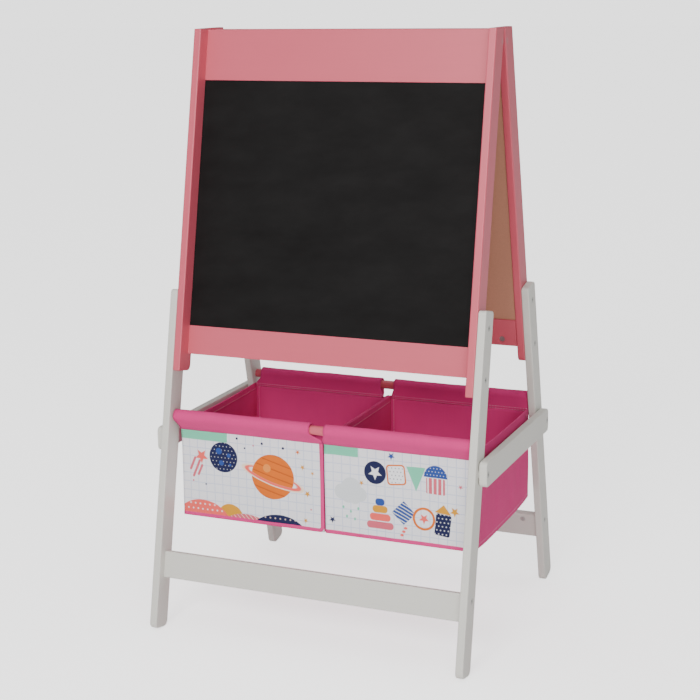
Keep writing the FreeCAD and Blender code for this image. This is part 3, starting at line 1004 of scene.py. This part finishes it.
def panel_binding(side):
    x0, x1 = PANEL_X[side]
    stations = []
    for x in steps(x0, x1 - CORNER, 48):
        stations.append((front_place(side, x, HEM_Z, 0.0), -Z, -Y))
    for angle in steps(0, pi / 2, 10)[1:-1]:
        out = sin(angle) * X - cos(angle) * Z
        x = x1 - CORNER + CORNER * sin(angle)
        z = HEM_Z + CORNER - CORNER * cos(angle)
        stations.append((front_place(side, x, z, 0.0), out, -Y))
    for z in steps(HEM_Z + CORNER, FRONT_SEAM_Z, 30):
        stations.append((front_place(side, x1, z, 0.0), X, -Y))
    profile = strip_profile(-BINDING, 0.5 * MM, -1.2 * MM, 1.3 * MM)
    return swept(side + "_bin_binding", stations, profile, binding_cloth_with_painted_light)


bindings = {side: panel_binding(side) for side in ("left", "right")}
print("bound panels")

# %% Fold the side rims
RIM_FOLD = 11.0 * MM
FLARE = 4.0 * MM


def side_rim(side, sign):
    """The folded strip over one side wall. sign is -1 for the left wall and 1 for the right one."""
    x = BIN_X[side][0] if sign < 0 else BIN_X[side][1]
    reach = WALL_Y - 3 * MM
    stations = []
    for y in steps(-reach, reach, 54):
        edge = wall_point(Vector((x, y)), sign * X, rim_height(y), SEED[side])
        flare = FLARE * ease((reach - 6 * MM - abs(y)) / (30 * MM)) if abs(x) > 0.1 else 0.0
        stations.append((edge - sign * X * CLOTH / 2, sign * X, Z, flare))
    half = CLOTH / 2 + 0.5 * MM
    inside = CLOTH / 2 - 0.1 * MM
    turned = RIM_FOLD - 0.6 * MM
    profile = [
        (-half, -turned), (-half, -0.8 * MM), (-half, 0.0), (-half * 0.6, 0.7 * MM), (0.0, 0.9 * MM),
        (half * 0.6, 0.7 * MM), (half, 0.0), (half, -0.8 * MM), (half, -turned), (half * 0.9, -RIM_FOLD),
        (inside, -RIM_FOLD), (inside, -0.4 * MM), (-inside, -0.4 * MM), (-inside, -RIM_FOLD),
        (-half * 0.9, -RIM_FOLD),
    ]
    return swept(side + ("_bin_rim_a" if sign < 0 else "_bin_rim_b"), stations, profile, binding_cloth_with_painted_light)


rims = {side: [side_rim(side, -1), side_rim(side, 1)] for side in ("left", "right")}
print("four folded rims")

# %% [markdown]
# ## Stitches
#
# A seam is a row of short threads at an even pitch. Geometry Nodes suit that: draw the line, let the
# nodes cut it into equal steps, put one small thread on each step and turn it along the line. The
# tree is the same for every seam, and only its line and its inputs differ. The threads are few-sided
# capsules, because there are hundreds of them.

# %% A tree that sews along a line
def stitch_tree():
    tree = bpy.data.node_groups.new("sew along a line", "GeometryNodeTree")
    face = tree.interface
    face.new_socket("Line", in_out="INPUT", socket_type="NodeSocketGeometry")
    for name, value in [("Pitch", 5.0 * MM), ("Length", 3.4 * MM), ("Thickness", 0.95 * MM)]:
        socket = face.new_socket(name, in_out="INPUT", socket_type="NodeSocketFloat")
        socket.default_value = value
    face.new_socket("Thread", in_out="INPUT", socket_type="NodeSocketMaterial")
    face.new_socket("Stitches", in_out="OUTPUT", socket_type="NodeSocketGeometry")

    def add(kind, **settings):
        made = tree.nodes.new(kind)
        for name, value in settings.items():
            setattr(made, name, value)
        return made

    def join(a, out, b, into):
        tree.links.new(a.outputs[out], b.inputs[into])

    start = add("NodeGroupInput")
    curve = add("GeometryNodeMeshToCurve")
    even = add("GeometryNodeResampleCurve", mode="LENGTH")
    sphere = add("GeometryNodeMeshUVSphere")
    sphere.inputs["Segments"].default_value = 6
    sphere.inputs["Rings"].default_value = 4
    sphere.inputs["Radius"].default_value = 0.5
    size = add("ShaderNodeCombineXYZ")
    shape = add("GeometryNodeTransform")
    tangent = add("GeometryNodeInputTangent")
    turn = add("FunctionNodeAlignRotationToVector", axis="Z")
    place = add("GeometryNodeInstanceOnPoints")
    wobble = add("FunctionNodeRandomValue", data_type="FLOAT")
    wobble.inputs["Min"].default_value = 0.85
    wobble.inputs["Max"].default_value = 1.1
    wobble.inputs["Seed"].default_value = 7
    real = add("GeometryNodeRealizeInstances")
    coat = add("GeometryNodeSetMaterial")
    end = add("NodeGroupOutput")
    join(start, "Line", curve, "Mesh")
    join(curve, "Curve", even, "Curve")
    join(start, "Pitch", even, "Length")
    join(start, "Thickness", size, "X")
    join(start, "Thickness", size, "Y")
    join(start, "Length", size, "Z")
    join(sphere, "Mesh", shape, "Geometry")
    join(size, "Vector", shape, "Scale")
    join(tangent, "Tangent", turn, "Vector")
    join(even, "Curve", place, "Points")
    join(shape, "Geometry", place, "Instance")
    join(turn, "Rotation", place, "Rotation")
    tree.links.new(wobble.outputs[1], place.inputs["Scale"])
    join(place, "Instances", real, "Geometry")
    join(real, "Geometry", coat, "Geometry")
    join(start, "Thread", coat, "Material")
    join(coat, "Geometry", end, "Stitches")
    return tree


sewing = stitch_tree()
print(len(sewing.nodes), "nodes in the sewing tree")

# %% Sew a set of lines
def sewn(name, lines, thread, **sizes):
    """Stitches along lines, each a list of points, as one plain mesh."""
    points, edges = [], []
    for line in lines:
        first = len(points)
        points += line
        edges += [(first + k, first + k + 1) for k in range(len(line) - 1)]
    mesh = bpy.data.meshes.new(name)
    mesh.from_pydata(points, edges, [])
    made = bpy.data.objects.new(name, mesh)
    bpy.context.scene.collection.objects.link(made)
    sew = made.modifiers.new("sew", "NODES")
    sew.node_group = sewing
    sizes["Thread"] = thread
    for item in sewing.interface.items_tree:
        if item.in_out == "INPUT" and item.name in sizes:
            sew[item.identifier] = sizes[item.name]
    settled(made)
    made.data.shade_smooth()
    return made


# %% Where the bins are sewn
def rear_place(side, x, z, proud):
    """A point on the inner side of the rear wall."""
    point = wall_point(Vector((x, WALL_Y)), Vector((0, 1)), z, SEED[side])
    return point - Vector((0, CLOTH + proud, 0))


def side_place(side, sign, y, z, proud):
    """A point on a side wall: outside it where proud is above nothing, else inside it."""
    x = BIN_X[side][0] if sign < 0 else BIN_X[side][1]
    edge = wall_point(Vector((x, y)), sign * X, z, SEED[side])
    return edge + sign * X * (proud if proud > 0 else proud - CLOTH)


def body_lines(side):
    """Seams on the bin body: two along each side rim, one low along each side wall and one up each rear corner,
    inside.
    """
    x0, x1 = BIN_X[side]
    reach = WALL_Y - 6 * MM
    lines = []
    for sign in (-1, 1):
        for proud in (-0.75 * MM, 0.75 * MM):
            low = RIM_FOLD - 2 * MM
            lines.append([side_place(side, sign, y, rim_height(y) - low, proud) for y in steps(-reach, reach, 50)])
        lines.append([side_place(side, sign, y, hem_height(y) + 8 * MM, 0.1 * MM) for y in steps(-reach, reach, 50)])
    for x in (x0 + 7 * MM, x1 - 7 * MM):
        low, high = hem_height(WALL_Y) + 6 * MM, REAR_SEAM_Z - 2 * MM
        lines.append([rear_place(side, x, z, 0.1 * MM) for z in steps(low, high, 30)])
    return lines


def rear_sleeve_line(side):
    """The double seam across the inner side of the rear sleeve."""
    x0, x1 = REAR_SEAM[side]
    y = WALL_Y - SLEEVE_CLOTH - 0.5 * MM
    lines = []
    for high in (1.6 * MM, 5.2 * MM):
        lines.append([Vector((x, y, REAR_SEAM_Z + high)) for x in steps(x0 + 3 * MM, x1 - 3 * MM, 50)])
    return lines


def front_lines(side):
    """Seams on the printed panel: along its binding and up its free side."""
    x0, x1 = PANEL_X[side]
    inset = 4.6 * MM
    curve = CORNER - inset
    line = [front_place(side, x, HEM_Z + inset, 1.35 * MM) for x in steps(x0 + 1 * MM, x1 - CORNER, 48)]
    for angle in steps(0, pi / 2, 8)[1:-1]:
        x = x1 - CORNER + curve * sin(angle)
        z = HEM_Z + CORNER - curve * cos(angle)
        line.append(front_place(side, x, z, 1.35 * MM))
    line += [front_place(side, x1 - inset, z, 1.35 * MM) for z in steps(HEM_Z + CORNER, FRONT_SEAM_Z - 3 * MM, 30)]
    return [line]


body_stitches = {side: sewn(side + "_bin_body_stitches", body_lines(side), pale_thread) for side in BIN_X}
rear_stitches = {side: sewn(side + "_bin_rear_stitches", rear_sleeve_line(side), pale_thread) for side in BIN_X}
front_stitches = {
    side: sewn(side + "_bin_front_stitches", front_lines(side), magenta_thread, Pitch=3.6 * MM, Length=2.4 * MM)
    for side in BIN_X
}
for made in [*body_stitches.values(), *rear_stitches.values(), *front_stitches.values()]:
    print(made.name, len(made.data.polygons), "faces")

# %% [markdown]
# ## What moves with what
#
# When the easel folds, the rear dowel comes up to the front one, and the bin between them closes like
# a paper bag: its side walls and its bottom crumple, and its rear wall ends close behind its front
# wall. Bending the cloth with the frames would push the bottom out through the front, because the
# frames turn and the walls hang. Here the body, its rims and its stitches ride the front frame, each
# with its own copy of its mesh, and nothing flattens them as the easel folds. The printed panel, its
# binding and stitches and the front sleeve ride the front frame too, and the rear sleeve and its
# stitches ride the rear one.

# %% Join the cloth to the frames
for side in BIN_X:
    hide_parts(side + "_bin_side_walls", side + "_bin_base", side + "_bin_rear_wall")
    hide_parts(side + "_bin_front_panel")
    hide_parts(side + "_bin_rear_sleeve")
    crumpling = [bodies[side], body_stitches[side], *rims[side]]
    on_front = [panels[side], front_sleeves[side], bindings[side], front_stitches[side]]
    for piece in crumpling:
        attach(piece, "front_frame")
        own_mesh(piece)
    for piece in on_front:
        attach(piece, "front_frame")
    on_rear = [rear_sleeves[side], rear_stitches[side]]
    for piece in on_rear:
        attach(piece, "rear_frame")
print("cloth joined")
